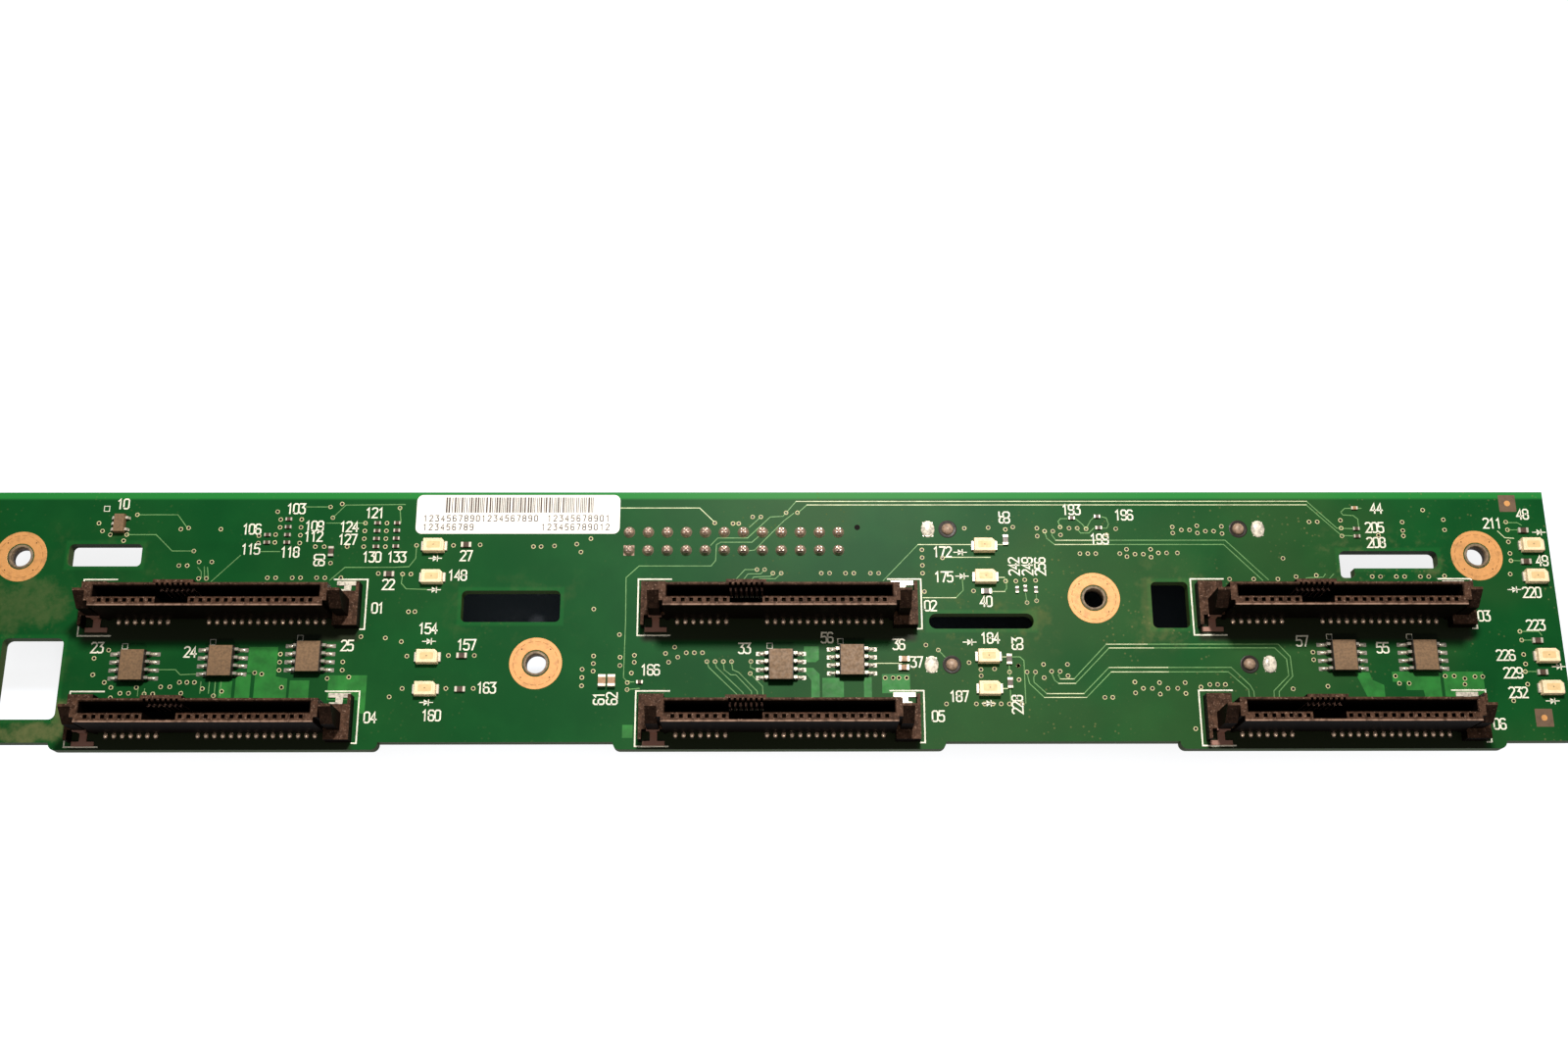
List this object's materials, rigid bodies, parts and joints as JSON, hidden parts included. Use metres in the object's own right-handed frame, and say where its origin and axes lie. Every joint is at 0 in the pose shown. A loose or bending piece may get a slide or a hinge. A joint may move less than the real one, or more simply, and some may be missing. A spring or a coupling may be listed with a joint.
{
  "type": "drive backplane board",
  "caption": "Long green circuit board with vertical drive sockets in two rows, status lights and power switches, and cable sockets on its back.",
  "frame": {"origin": "middle of the board's outline, at the level under the rear connectors", "axes": "+X along the board's length, +Y towards its straight top edge, +Z towards the drives"},
  "size_m": [0.2524, 0.0412, 0.0209],
  "materials": {
    "board_laminate": "green solder mask over glass laminate",
    "socket_plastic": "moulded, slightly textured",
    "contact_metal": "plated",
    "bright_tin": "bright tin and solder",
    "light_body": "cream moulding",
    "chip_plastic": "moulded epoxy",
    "resistor_body": "glazed",
    "capacitor_body": "fired",
    "label_paper": "printed white label"
  },
  "bodies": {
    "root": {"board": "board_laminate", "drive_socket_1": "socket_plastic", "drive_contacts_1": "contact_metal", "second_port_contacts_1": "contact_metal", "hold_downs_1": "bright_tin", "drive_socket_2": "socket_plastic", "drive_contacts_2": "contact_metal", "second_port_contacts_2": "contact_metal", "hold_downs_2": "bright_tin", "drive_socket_3": "socket_plastic", "drive_contacts_3": "contact_metal", "second_port_contacts_3": "contact_metal", "hold_downs_3": "bright_tin", "drive_socket_4": "socket_plastic", "drive_contacts_4": "contact_metal", "second_port_contacts_4": "contact_metal", "hold_downs_4": "bright_tin", "drive_socket_5": "socket_plastic", "drive_contacts_5": "contact_metal", "second_port_contacts_5": "contact_metal", "hold_downs_5": "bright_tin", "drive_socket_6": "socket_plastic", "drive_contacts_6": "contact_metal", "second_port_contacts_6": "contact_metal", "hold_downs_6": "bright_tin", "status_light_1": "light_body", "status_light_2": "light_body", "status_light_3": "light_body", "status_light_4": "light_body", "status_light_5": "light_body", "status_light_6": "light_body", "status_light_7": "light_body", "status_light_8": "light_body", "status_light_9": "light_body", "status_light_10": "light_body", "status_light_11": "light_body", "status_light_12": "light_body", "status_light_terminals": "bright_tin", "power_switch_1": "chip_plastic", "power_switch_2": "chip_plastic", "power_switch_3": "chip_plastic", "power_switch_4": "chip_plastic", "power_switch_5": "chip_plastic", "power_switch_6": "chip_plastic", "power_switch_7": "chip_plastic", "power_switch_leads": "bright_tin", "logic_chip": "chip_plastic", "logic_chip_leads": "bright_tin", "resistor_bodies": "resistor_body", "resistor_terminals": "bright_tin", "capacitor_bodies": "capacitor_body", "capacitor_terminals": "bright_tin", "power_header": "socket_plastic", "power_header_pins": "bright_tin", "signal_socket_upper": "socket_plastic", "signal_contacts_upper": "contact_metal", "signal_socket_lower": "socket_plastic", "signal_contacts_lower": "contact_metal", "signal_socket_locks": "bright_tin", "label": "label_paper"}
  },
  "joints": []
}
